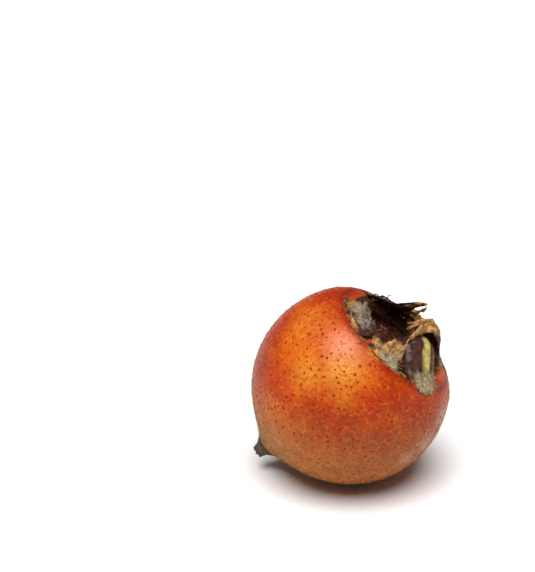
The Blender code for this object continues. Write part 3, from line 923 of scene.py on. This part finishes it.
def threads(name, lines, sides, finish):
    """Round threads along lines, each a list of (point, radius)."""
    points, edges, thickness = [], [], []
    for line in lines:
        first = len(points)
        points += [LYING @ point for point, _ in line]
        thickness += [radius for _, radius in line]
        edges += [(first + i, first + i + 1) for i in range(len(line) - 1)]
    mesh = bpy.data.meshes.new(name + "_lines")
    mesh.from_pydata(points, edges, [])
    shared(mesh, "thickness", thickness)
    return grown(mesh, thread_tree(), {"Sides": sides, "Material": finish})


# The skin

def skin_rings():
    """(radius, height, seat depth) in metres, from the eye's floor to the stalk's pole."""
    rings = [tuple(v * MM for v in along(EYE_PROFILE, i / EYE_RINGS)) for i in range(1, EYE_RINGS)]
    for i in range(SKIN_RINGS):
        angle = SKIN_START + (math.pi - SKIN_START) * i / SKIN_RINGS
        rings.append((FRUIT_RADIUS * math.sin(angle), FRUIT_RADIUS * math.cos(angle), 0.0))
    return rings


def skin_shares(direction, radius, height, seat):
    """How strongly each colour layer covers a point of the skin, by name."""
    from_crown = direction.angle(Vector((0, 0, 1)))
    ragged = noise.fractal(direction * 9.0, 1.0, 2.0, 3)
    inside = height > 0.0 and radius < 13.2 * MM
    eye = 1.0 - smoothstep(10.5, 11.3, radius / MM + 0.5 * ragged) if inside else 0.0
    rim = smoothstep(9.5, 10.4, radius / MM) if inside else 0.0
    seated = seat * rim
    ring = 0.9 * math.exp(-(((from_crown - math.radians(43)) / math.radians(7)) ** 2))
    from_stalk = direction.angle(STALK_DIRECTION)
    russet = smoothstep(RUSSET_START, RUSSET_FULL, from_crown + 0.16 * ragged)
    upright = (LYING.to_3x3() @ direction).z
    low = smoothstep(0.3, -0.6, upright + 0.15 * ragged)
    resting = smoothstep(-0.93, -0.985, upright)
    bare = 1.0 - place_share(direction, BARE_PLACES)
    golden = place_share(direction, GOLD_PLACES)
    return {
        "red_share": max(ring, place_share(direction, RED_PLACES)) * (1.0 - 0.6 * max(russet, golden)),
        "gold_share": golden,
        "painted_highlight_share": 0.85 * place_share(direction, PAINTED_HIGHLIGHT_PLACES),
        "painted_sheen_share": 0.9 * place_share(direction, PAINTED_SHEEN_PLACES),
        "rim_shade_share": 0.62 * math.exp(-(((from_crown - RIM_SHADE_ANGLE) / RIM_SHADE_WIDTH) ** 2)) * (1.0 - golden),
        "russet_share": bare * max(0.85 * russet, 0.75 * low),
        "seat_share": seated,
        "eye_share": eye,
        "lenticel_share": (1.0 - smoothstep(0.0, 0.2, max(seated, eye))) * (1.0 - 0.35 * russet),
        "hair_share": (0.01 + 0.9 * bare * max(russet, low**1.5) + 0.9 * math.exp(-((from_stalk / 0.35) ** 2)))
        * (1.0 - max(seated, eye, resting)),
        "wool_share": 0.1 * seated * (1.0 - 0.8 * eye) * smoothstep(11.0, 12.0, radius / MM),
    }


def skin_mesh():
    """The whole skin as one closed shape, with its colour layers stored on its points."""
    rings = skin_rings()
    points = []
    shares = {}
    ends = [(0.0, EYE_PROFILE[0][1] * MM, 0.0), (0.0, -FRUIT_RADIUS, 0.0)]
    for radius, height, depth in [ends[0], *rings, ends[1]]:
        steps = 1 if radius == 0.0 else TURN_STEPS
        for step in range(steps):
            azimuth = 2 * math.pi * step / TURN_STEPS
            seat = seat_share(azimuth) if depth > 0.0 or 9.0 * MM < radius < 13.4 * MM else 0.0
            point = Vector((radius * math.cos(azimuth), radius * math.sin(azimuth), height - depth * seat))
            direction = point.normalized()
            points.append(point + direction * swelling(direction))
            for name, value in skin_shares(direction, radius, height, seat).items():
                shares.setdefault(name, []).append(value)
    faces = []
    last = len(points) - 1
    for step in range(TURN_STEPS):
        beside = (step + 1) % TURN_STEPS
        faces.append((0, 1 + step, 1 + beside))
        for ring in range(len(rings) - 1):
            row = 1 + ring * TURN_STEPS
            faces.append((row + step, row + TURN_STEPS + step, row + TURN_STEPS + beside, row + beside))
        row = 1 + (len(rings) - 1) * TURN_STEPS
        faces.append((row + step, last, row + beside))
    mesh = bpy.data.meshes.new("fruit_skin")
    mesh.from_pydata(points, [], faces)
    for name, values in shares.items():
        shared(mesh, name, values)
    normals = [vertex.normal.copy() for vertex in mesh.vertices]
    for i, (vertex, normal) in enumerate(zip(mesh.vertices, normals)):
        place = vertex.co / MM
        crust = max(shares["eye_share"][i], 0.7 * shares["seat_share"][i])
        raised = 0.035 * noise.noise(place * 0.8) + 0.015 * noise.noise(place * 2.3)
        raised += crust * (0.20 * noise.noise(place * 1.1) + 0.14 * noise.noise(place * 2.6))
        raised += 0.03 * shares["russet_share"][i] * noise.noise(place * 3.4)
        lying = LYING @ (vertex.co + normal * raised * MM)
        lying.z = max(lying.z, 0.0)
        vertex.co = lying
    mesh.update()
    return mesh


# The sepals

def share_kept(sepal, across):
    """How much of its length the blade keeps at this place across it."""
    low, high = sepal["kept"]
    kept = 1.0
    if low != 1.0 or high != 1.0:
        ragged = noise.noise(Vector((across * TORN_PITCH, sepal["azimuth"], 0.0)))
        kept = min(1.0, low + (high - low) * 0.5 * (across + 1.0) + TORN_DEPTH * (ragged - TORN_BIAS))
        kept += 0.05 * noise.noise(Vector((across * 9.0, sepal["azimuth"], 3.0)))
    for centre, half_width, depth in sepal["notches"]:
        away = (across - centre) / half_width
        kept -= depth * math.exp(-away * away)
    return kept


def blade_point(sepal, across, upwards, crinkle):
    """A point of a sepal's middle surface: across runs from -1 to 1 and upwards from 0 to 1."""
    line = sepal["line"]
    up = upwards * share_kept(sepal, across)
    r, z, width = (value * MM for value in along(line, up))
    offset = 0.5 * width * across
    azimuth = math.radians(sepal["azimuth"] + sepal["sway"] * up)
    foot_share = (sepal["seated"] - 1) / (len(line) - 1)
    free = smoothstep(foot_share, 1.0, up)
    bend = offset / max(r, LEAST_CURL_RADIUS)
    wrapped = Vector((math.cos(azimuth + bend), math.sin(azimuth + bend), 0.0)) * r
    out = Vector((math.cos(azimuth), math.sin(azimuth), 0.0))
    side = Vector((-math.sin(azimuth), math.cos(azimuth), 0.0))
    flat = out * r + side * offset
    point = wrapped.lerp(flat, FLATTENING * free) + Vector((0, 0, z))
    before, after = along(line, up - NORMAL_REACH), along(line, up + NORMAL_REACH)
    run = Vector((after[0] - before[0], after[1] - before[1])).normalized()
    normal = out * run.y + Vector((0, 0, -run.x))
    place_on = Vector((across * RUFFLE_PITCH[0], up * RUFFLE_PITCH[1], sepal["azimuth"]))
    raised = sepal["cup"] * across * across * smoothstep(0.0, 2.0 * foot_share, up)
    raised += sepal["ruffle"] * free * noise.noise(place_on)
    rib_place, rib_height, rib_breadth = sepal["rib"]
    away = (offset / MM - 0.5 * rib_place * width / MM) / (0.5 * rib_breadth)
    raised += rib_height * math.exp(-away * away) * smoothstep(0.1, 0.35, up)
    rumpled = noise.fractal(Vector((offset / MM, up * len(line) * 1.4, sepal["azimuth"])) * 0.8, 1.0, 2.0, 3)
    creases = noise.noise(Vector((offset / MM * 2.2, up * 5.0, sepal["azimuth"] + 5.0)))
    raised += crinkle / MM * (rumpled + 0.8 * creases) * (0.35 + 0.65 * abs(across))
    rolled = math.radians(sepal["roll"]) * free
    roll = normal * (offset * math.sin(rolled)) - side * (offset * (1.0 - math.cos(rolled)))
    drift = side * (sepal["drift"] * free * MM)
    direction = point.normalized()
    return point + normal * (raised * MM) + roll + drift + direction * (swelling(direction) * (1.0 - free))


def shell_mesh(name, middle, thickness):
    """A closed shell round a grid of points, as thick at each as thickness(row, column) says."""
    last_row, last_column = len(middle) - 1, len(middle[0]) - 1
    width = last_column + 1
    points = []
    for face in (1.0, -1.0):
        for i, row in enumerate(middle):
            for j, point in enumerate(row):
                lengthwise = middle[min(i + 1, last_row)][j] - middle[max(i - 1, 0)][j]
                crosswise = row[min(j + 1, last_column)] - row[max(j - 1, 0)]
                normal = crosswise.cross(lengthwise).normalized()
                points.append(LYING @ (point + normal * (0.5 * face * thickness(i, j))))
    under = len(points) // 2
    faces = []
    for i in range(last_row):
        for j in range(last_column):
            a, b = i * width + j, i * width + j + 1
            c, d = b + width, a + width
            faces.append((a, b, c, d))
            faces.append((a + under, d + under, c + under, b + under))
    border = list(range(width))
    border += [i * width + last_column for i in range(1, last_row + 1)]
    border += [last_row * width + j for j in range(last_column - 1, -1, -1)]
    border += [i * width for i in range(last_row - 1, 0, -1)]
    for a, b in zip(border, border[1:] + border[:1]):
        faces.append((b, a, a + under, b + under))
    mesh = bpy.data.meshes.new(name)
    mesh.from_pydata(points, [], faces)
    return mesh


def stain_share(sepal, layer, across, up):
    """How strongly a colour layer covers a sepal at a place across and along it."""
    share = 0.0
    ragged = 0.35 * noise.noise(Vector((across * 4.0, up * 9.0, 7.0)))
    for name, s_across, s_up, reach_across, reach_up, strength in sepal["stains"]:
        if name == layer:
            away = math.hypot((across - s_across) / reach_across, (up - s_up) / reach_up)
            share = max(share, strength * (1.0 - smoothstep(0.6, 1.15, away + ragged)))
    return share


def blade_mesh(name, sepal, thickness, crinkle):
    """One dried sepal as a thin closed shell, with its stains stored on its points."""
    places = [
        [(2.0 * j / BLADE_COLUMNS - 1.0, i / BLADE_ROWS) for j in range(BLADE_COLUMNS + 1)]
        for i in range(BLADE_ROWS + 1)
    ]
    middle = [[blade_point(sepal, across, up, crinkle) for across, up in row] for row in places]

    def thick(i, j):
        across, up = places[i][j]
        return thickness * (1.0 - 0.6 * max(abs(across) ** 4, smoothstep(0.75, 1.0, up)))

    mesh = shell_mesh(name, middle, thick)
    for layer in ("wool", "rib", "grey", "tan"):
        outer = [stain_share(sepal, layer, across, up) for row in places for across, up in row]
        inner = [0.0] * len(outer) if layer == "rib" else outer
        shared(mesh, layer + "_share", outer + inner)
    return mesh


# Operators

class MEDLAR_OT_skin(bpy.types.Operator):
    """Makes the flesh and skin with the open eye in the crown"""

    bl_idname = "medlar.skin"
    bl_label = "Skin"

    def execute(self, context):
        finish = skin_finish(context.scene.medlar_skin)
        placed("fruit_skin", skin_mesh(), finish, ["fruit_body"])
        return {"FINISHED"}


class MEDLAR_OT_lenticels(bpy.types.Operator):
    """Spreads brown corky lenticels over the skin"""

    bl_idname = "medlar.lenticels"
    bl_label = "Lenticels"

    def execute(self, context):
        settings = context.scene.medlar_skin
        finish = plain_finish("lenticel_cork", (0.19, 0.016, 0.003), (0.36, 0.055, 0.010), 0.3 * MM, 0.6, 0.0)
        inputs = {
            "Gap": settings.lenticel_gap, "Share": "lenticel_share", "Seed": 5,
            "Radius": settings.lenticel_radius, "Height": 0.075 * MM, "Material": finish,
        }
        mesh = grown(bpy.data.objects["fruit_skin"].data.copy(), lenticel_tree(), inputs)
        placed("lenticels", mesh)
        return {"FINISHED"}


class MEDLAR_OT_skin_hairs(bpy.types.Operator):
    """Grows the short pale hairs that lie on the skin"""

    bl_idname = "medlar.skin_hairs"
    bl_label = "Hairs on the skin"

    def execute(self, context):
        finish = plain_finish("pale_hair", (0.42, 0.19, 0.050), (0.80, 0.50, 0.21), 2.0 * MM, 0.6, 0.0)
        inputs = {
            "Density": 9.0e6, "Share": "hair_share", "Seed": 3,
            "Length": context.scene.medlar_skin.hair_length, "Radius": 0.026 * MM, "Lean": math.radians(78),
            "Bend": -0.1, "Segments": 1, "Material": finish,
        }
        mesh = grown(bpy.data.objects["fruit_skin"].data.copy(), hair_tree(), inputs)
        placed("skin_hairs", mesh)
        return {"FINISHED"}


class MEDLAR_OT_sepals(bpy.types.Operator):
    """Makes the five dried sepals round the eye"""

    bl_idname = "medlar.sepals"
    bl_label = "Sepals"

    def execute(self, context):
        settings = context.scene.medlar_calyx
        finish = blade_finish()
        for name, sepal in SEPALS.items():
            mesh = blade_mesh(name + "_blade", sepal, settings.blade_thickness, settings.crinkle)
            placed(name + "_blade", mesh, finish, [name])
        return {"FINISHED"}


class MEDLAR_OT_slivers(bpy.types.Operator):
    """Makes the torn slivers of dried tissue between the sepals"""

    bl_idname = "medlar.slivers"
    bl_label = "Torn slivers"

    def execute(self, context):
        settings = context.scene.medlar_calyx
        finish = blade_finish()
        meshes = []
        for number, (tan, points) in enumerate(SLIVERS):
            middle = []
            for i in range(SLIVER_ROWS + 1):
                x, y, z, width, turned = along(points, i / SLIVER_ROWS)
                centre = Vector((x, y, z))
                inwards = Vector((-x, -y, 0.0)).normalized()
                across = Vector((0, 0, 1)) * math.cos(math.radians(turned)) + inwards * math.sin(math.radians(turned))
                curl = noise.noise_vector(centre * 0.9 + Vector((number, 0, 0))) * 0.35
                middle.append(
                    [
                        (centre + curl + across * (width * (j / SLIVER_COLUMNS - 0.5))) * MM
                        for j in range(SLIVER_COLUMNS + 1)
                    ]
                )
            mesh = shell_mesh(f"sliver_{number}", middle, lambda i, j: 0.5 * settings.blade_thickness)
            for layer in ("wool", "rib", "grey"):
                shared(mesh, layer + "_share", [0.0] * len(mesh.vertices))
            shared(mesh, "tan_share", [tan] * len(mesh.vertices))
            mesh.materials.append(finish)
            meshes.append(mesh)
        placed("torn_slivers", joined("torn_slivers", meshes))
        return {"FINISHED"}


class MEDLAR_OT_sepal_wool(bpy.types.Operator):
    """Grows pale wool on the feet of the sepals and on the rim round them"""

    bl_idname = "medlar.sepal_wool"
    bl_label = "Wool on the sepals"

    def execute(self, context):
        settings = context.scene.medlar_calyx
        finish = plain_finish("sepal_wool", (0.30, 0.22, 0.11), (0.88, 0.75, 0.50), 1.0 * MM, 0.8, 0.0)
        tree = hair_tree()
        surfaces = [bpy.data.objects[name + "_blade"].data for name in SEPALS]
        surfaces.append(bpy.data.objects["fruit_skin"].data)
        meshes = []
        for seed, surface in enumerate(surfaces):
            inputs = {
                "Density": 1.8e7, "Share": "wool_share", "Seed": 20 + seed, "Length": settings.wool_length,
                "Radius": 0.022 * MM, "Lean": math.radians(62), "Bend": -0.5, "Segments": 3,
                "Material": finish,
            }
            meshes.append(grown(surface.copy(), tree, inputs))
        placed("sepal_wool", joined("sepal_wool", meshes))
        return {"FINISHED"}


class MEDLAR_OT_stamens(bpy.types.Operator):
    """Makes the dried, curled stamens on the ring inside the rim"""

    bl_idname = "medlar.stamens"
    bl_label = "Stamens"

    def execute(self, context):
        settings = context.scene.medlar_calyx
        finish = plain_finish("dried_thread", (0.012, 0.006, 0.004), (0.10, 0.045, 0.025), 0.6 * MM, 0.6, 0.0)
        rng = random.Random(12)
        lines = []
        for i in range(settings.stamen_count):
            azimuth = 2 * math.pi * (i + rng.uniform(-0.4, 0.4)) / settings.stamen_count
            lines.append(self.filament(rng, azimuth, settings.stamen_length, STAMEN_RING_RADIUS, STAMEN_RING_HEIGHT))
        for first, last, count, radius, height in CURLS:
            for _ in range(count):
                azimuth = math.radians(rng.uniform(first, last))
                lines.append(self.filament(rng, azimuth, settings.stamen_length * 0.8, radius, height))
        ring = []
        for i in range(97):
            azimuth = 2 * math.pi * i / 96
            wave = noise.noise(Vector((math.cos(azimuth), math.sin(azimuth), 0.0)) * 6.0)
            ring.append(
                (
                    Vector((math.cos(azimuth), math.sin(azimuth), 0.0)) * (STAMEN_RING_RADIUS + 0.3 * MM * wave)
                    + Vector((0, 0, STAMEN_RING_HEIGHT + 0.2 * MM * wave)),
                    (0.34 + 0.12 * wave) * MM,
                )
            )
        lines.append(ring)
        placed("stamen_threads", threads("stamens", lines, 6, finish), replaces=["dried_stamens"])
        return {"FINISHED"}

    def filament(self, rng, azimuth, length, radius, height):
        """One filament's line of (point, radius), curling inwards, with a withered tip."""
        r, z = radius + rng.uniform(-0.2, 0.3) * MM, height
        lean = rng.uniform(-0.5, 0.6)
        curl = rng.uniform(0.10, 0.42)
        sway = rng.uniform(-0.05, 0.05)
        joints = 12
        step = length * rng.uniform(0.6, 1.25) / joints
        line = []
        for joint in range(joints + 1):
            thick = 0.13 - 0.006 * joint + (0.07 if joint == joints - 1 else 0.0)
            line.append((Vector((r * math.cos(azimuth), r * math.sin(azimuth), z)), thick * MM))
            r -= step * math.sin(lean)
            z += step * math.cos(lean)
            lean += curl
            azimuth += sway + rng.uniform(-0.02, 0.02)
        return line


class MEDLAR_OT_styles(bpy.types.Operator):
    """Makes the withered styles on the floor of the eye"""

    bl_idname = "medlar.styles"
    bl_label = "Styles"

    def execute(self, context):
        finish = plain_finish("withered_style", (0.05, 0.018, 0.012), (0.36, 0.17, 0.12), 0.7 * MM, 0.7, 0.1 * MM)
        rng = random.Random(4)
        lines = []
        for i in range(STYLE_COUNT):
            azimuth = 2 * math.pi * i / STYLE_COUNT + STYLE_TURN
            point = towards(azimuth, math.pi / 2) * (0.5 * MM) + Vector((0, 0, STYLE_FOOT))
            lean = STYLE_LEAN
            line = []
            for joint in range(10):
                line.append((point.copy(), (0.36 - 0.02 * joint + rng.uniform(-0.03, 0.03)) * MM))
                point += towards(azimuth, lean) * (0.23 * MM)
                lean += 0.1
                azimuth += rng.uniform(-0.12, 0.12)
            line.append((point.copy(), 0.3 * MM))
            lines.append(line)
        for i in range(7):
            azimuth = 2 * math.pi * i / 7
            foot = towards(azimuth, math.pi / 2) * (0.8 * MM) + Vector((0, 0, STYLE_FOOT - 0.2 * MM))
            lines.append(
                [
                    (foot, 0.5 * MM),
                    (foot + Vector((0, 0, 0.35 * MM)), 0.6 * MM),
                    (foot + Vector((0, 0, 0.6 * MM)), 0.3 * MM),
                ]
            )
        lines.append([(Vector(along(STAR_STEM, i / 12)) * MM, (0.22 - 0.008 * i) * MM) for i in range(13)])
        centre = Vector(STAR_STEM[-1]) * MM
        for i in range(STAR_ARMS):
            arm = towards(2 * math.pi * i / STAR_ARMS, rng.uniform(0.2, 1.5)) * STAR_REACH
            droop = Vector((0, 0, -0.5 * STAR_REACH))
            lines.append(
                [(centre + arm * t + droop * (t * t), (0.17 - 0.09 * t) * MM) for t in (0.0, 0.25, 0.5, 0.75, 1.0)]
            )
        placed("withered_styles", threads("styles", lines, 7, finish), replaces=["style_stubs"])
        return {"FINISHED"}


class MEDLAR_OT_stalk(bpy.types.Operator):
    """Makes the short stub of stalk with its fibrous cut end"""

    bl_idname = "medlar.stalk"
    bl_label = "Stalk"

    def execute(self, context):
        profile = [
            (0.0, 2.0), (0.5, 2.05), (0.95, 2.15), (1.2, 2.0), (1.3, 1.6), (1.45, 1.1), (1.8, 0.5), (2.25, -0.1),
            (2.7, -0.75), (2.9, -1.2),
        ]
        steps, rows = 64, 48
        foot = STALK_DIRECTION * (FRUIT_RADIUS + swelling(STALK_DIRECTION) + 0.25 * MM)
        turn = STALK_DIRECTION.to_track_quat("Z", "Y").to_matrix().to_4x4()
        points, faces = [], []
        for i in range(rows + 1):
            radius, height = along(profile, i / rows)
            for j in range(steps):
                angle = 2 * math.pi * j / steps
                ridge = noise.noise(Vector((math.cos(angle) * 3.2, math.sin(angle) * 3.2, height * 0.5)))
                rough = noise.noise(Vector((math.cos(angle) * 1.6, math.sin(angle) * 1.6, height * 2.0 + 9.0)))
                side = radius * (1.0 + 0.14 * ridge + 0.08 * rough)
                lift = (0.35 * ridge + 0.3 * rough) * smoothstep(1.2, 1.9, height) if radius > 0.0 else 0.0
                points.append(Vector((side * math.cos(angle), side * math.sin(angle), height + lift)) * MM)
        for i in range(rows):
            for j in range(steps):
                k = (j + 1) % steps
                faces.append((i * steps + j, (i + 1) * steps + j, (i + 1) * steps + k, i * steps + k))
        faces.append(tuple(rows * steps + j for j in range(steps - 1, -1, -1)))
        mesh = bpy.data.meshes.new("stalk")
        mesh.from_pydata(points, [], faces)
        work = bmesh.new()
        work.from_mesh(mesh)
        bmesh.ops.remove_doubles(work, verts=work.verts, dist=1e-6)
        bmesh.ops.recalc_face_normals(work, faces=work.faces[:])
        work.to_mesh(mesh)
        work.free()
        mesh.transform(LYING @ Matrix.Translation(foot) @ turn)
        finish = bark_finish()
        placed("stalk_bark", mesh, finish, ["stalk_stub"])
        return {"FINISHED"}


class MEDLAR_OT_stage(bpy.types.Operator):
    """Sets the pale floor, the soft light and the camera"""

    bl_idname = "medlar.stage"
    bl_label = "Floor, light and camera"

    def execute(self, context):
        settings = context.scene.medlar_stage
        self.floor()
        self.lights(settings)
        self.camera(context.scene)
        context.scene.view_settings.view_transform = "Standard"
        return {"FINISHED"}

    def floor(self):
        mesh = bpy.data.meshes.new("floor")
        reach = 6.0
        corners = [(-reach, -reach, 0.0), (reach, -reach, 0.0), (reach, reach, 0.0), (-reach, reach, 0.0)]
        mesh.from_pydata(corners, [], [(0, 1, 2, 3)])
        made = bpy.data.objects.new("floor", mesh)
        bpy.context.scene.collection.objects.link(made)
        white = Finish("white_floor")
        white.surface(base_color=(0.93, 0.93, 0.93), roughness=0.9)
        mesh.materials.append(white.material)

    def lights(self, settings):
        world = bpy.data.worlds.new("white_surroundings")
        world.use_nodes = True
        background = world.node_tree.nodes["Background"]
        background.inputs["Color"].default_value = (1.0, 1.0, 1.0, 1.0)
        background.inputs["Strength"].default_value = settings.sky_strength
        bpy.context.scene.world = world
        data = bpy.data.lights.new("overhead", "SUN")
        data.energy = settings.key_strength
        data.angle = settings.key_breadth
        light = bpy.data.objects.new("overhead", data)
        light.location = OVERHEAD * CAMERA_DISTANCE
        light.rotation_euler = OVERHEAD.to_track_quat("Z", "Y").to_euler()
        bpy.context.scene.collection.objects.link(light)

    def camera(self, scene):
        """Looks down at the fruit from in front, turned so that it falls on its pixel."""
        data = bpy.data.cameras.new("camera")
        camera = bpy.data.objects.new("camera", data)
        scene.collection.objects.link(camera)
        across, down = PICTURE_SIZE
        focal = PIXELS_PER_MM * CAMERA_DISTANCE / MM
        data.lens = focal * data.sensor_width / max(across, down)
        data.clip_start = 0.01
        data.clip_end = 20.0
        target = Vector((0, 0, REST_DEPTH))
        back = Vector((0, -math.cos(CAMERA_TILT), math.sin(CAMERA_TILT)))
        camera.location = target + back * CAMERA_DISTANCE
        straight = (-back).to_track_quat("-Z", "Y")
        on_picture = Vector((FRUIT_PIXEL[0] - 0.5 * across, 0.5 * down - FRUIT_PIXEL[1], -focal))
        camera.rotation_mode = "QUATERNION"
        aside = Vector((0, 0, -1)).rotation_difference(on_picture.normalized())
        camera.rotation_quaternion = straight @ aside.inverted()
        scene.camera = camera


class MEDLAR_PT_pieces(bpy.types.Panel):
    """Lists the pieces of the fruit in the sidebar"""

    bl_idname = "MEDLAR_PT_pieces"
    bl_label = "Medlar"
    bl_space_type = "VIEW_3D"
    bl_region_type = "UI"
    bl_category = "Medlar"

    def draw(self, context):
        scene = context.scene
        for title, settings, operators in (
            ("Skin", scene.medlar_skin, (MEDLAR_OT_skin, MEDLAR_OT_lenticels, MEDLAR_OT_skin_hairs)),
            (
                "Calyx", scene.medlar_calyx,
                (
                    MEDLAR_OT_sepals, MEDLAR_OT_slivers, MEDLAR_OT_sepal_wool, MEDLAR_OT_stamens,
                    MEDLAR_OT_styles, MEDLAR_OT_stalk,
                ),
            ),
            ("Stage", scene.medlar_stage, (MEDLAR_OT_stage,)),
        ):
            box = self.layout.box()
            box.label(text=title)
            for name in settings.__annotations__:
                box.prop(settings, name)
            for operator in operators:
                box.operator(operator.bl_idname)


SETTINGS = {
    "medlar_skin": MedlarSkinSettings,
    "medlar_calyx": MedlarCalyxSettings,
    "medlar_stage": MedlarStageSettings,
}
OPERATORS = (
    MEDLAR_OT_skin,
    MEDLAR_OT_lenticels,
    MEDLAR_OT_skin_hairs,
    MEDLAR_OT_sepals,
    MEDLAR_OT_slivers,
    MEDLAR_OT_sepal_wool,
    MEDLAR_OT_stamens,
    MEDLAR_OT_styles,
    MEDLAR_OT_stalk,
    MEDLAR_OT_stage,
)


def register():
    for group in SETTINGS.values():
        bpy.utils.register_class(group)
    for name, group in SETTINGS.items():
        setattr(bpy.types.Scene, name, PointerProperty(type=group))
    for kind in (*OPERATORS, MEDLAR_PT_pieces):
        bpy.utils.register_class(kind)


def unregister():
    for kind in (MEDLAR_PT_pieces, *reversed(OPERATORS)):
        bpy.utils.unregister_class(kind)
    for name in SETTINGS:
        delattr(bpy.types.Scene, name)
    for group in SETTINGS.values():
        bpy.utils.unregister_class(group)


def main():
    register()
    bpy.ops.medlar.skin()
    bpy.ops.medlar.lenticels()
    bpy.ops.medlar.skin_hairs()
    bpy.ops.medlar.sepals()
    bpy.ops.medlar.slivers()
    bpy.ops.medlar.sepal_wool()
    bpy.ops.medlar.stamens()
    bpy.ops.medlar.styles()
    bpy.ops.medlar.stalk()
    bpy.ops.medlar.stage()


if __name__ == "__main__":
    main()
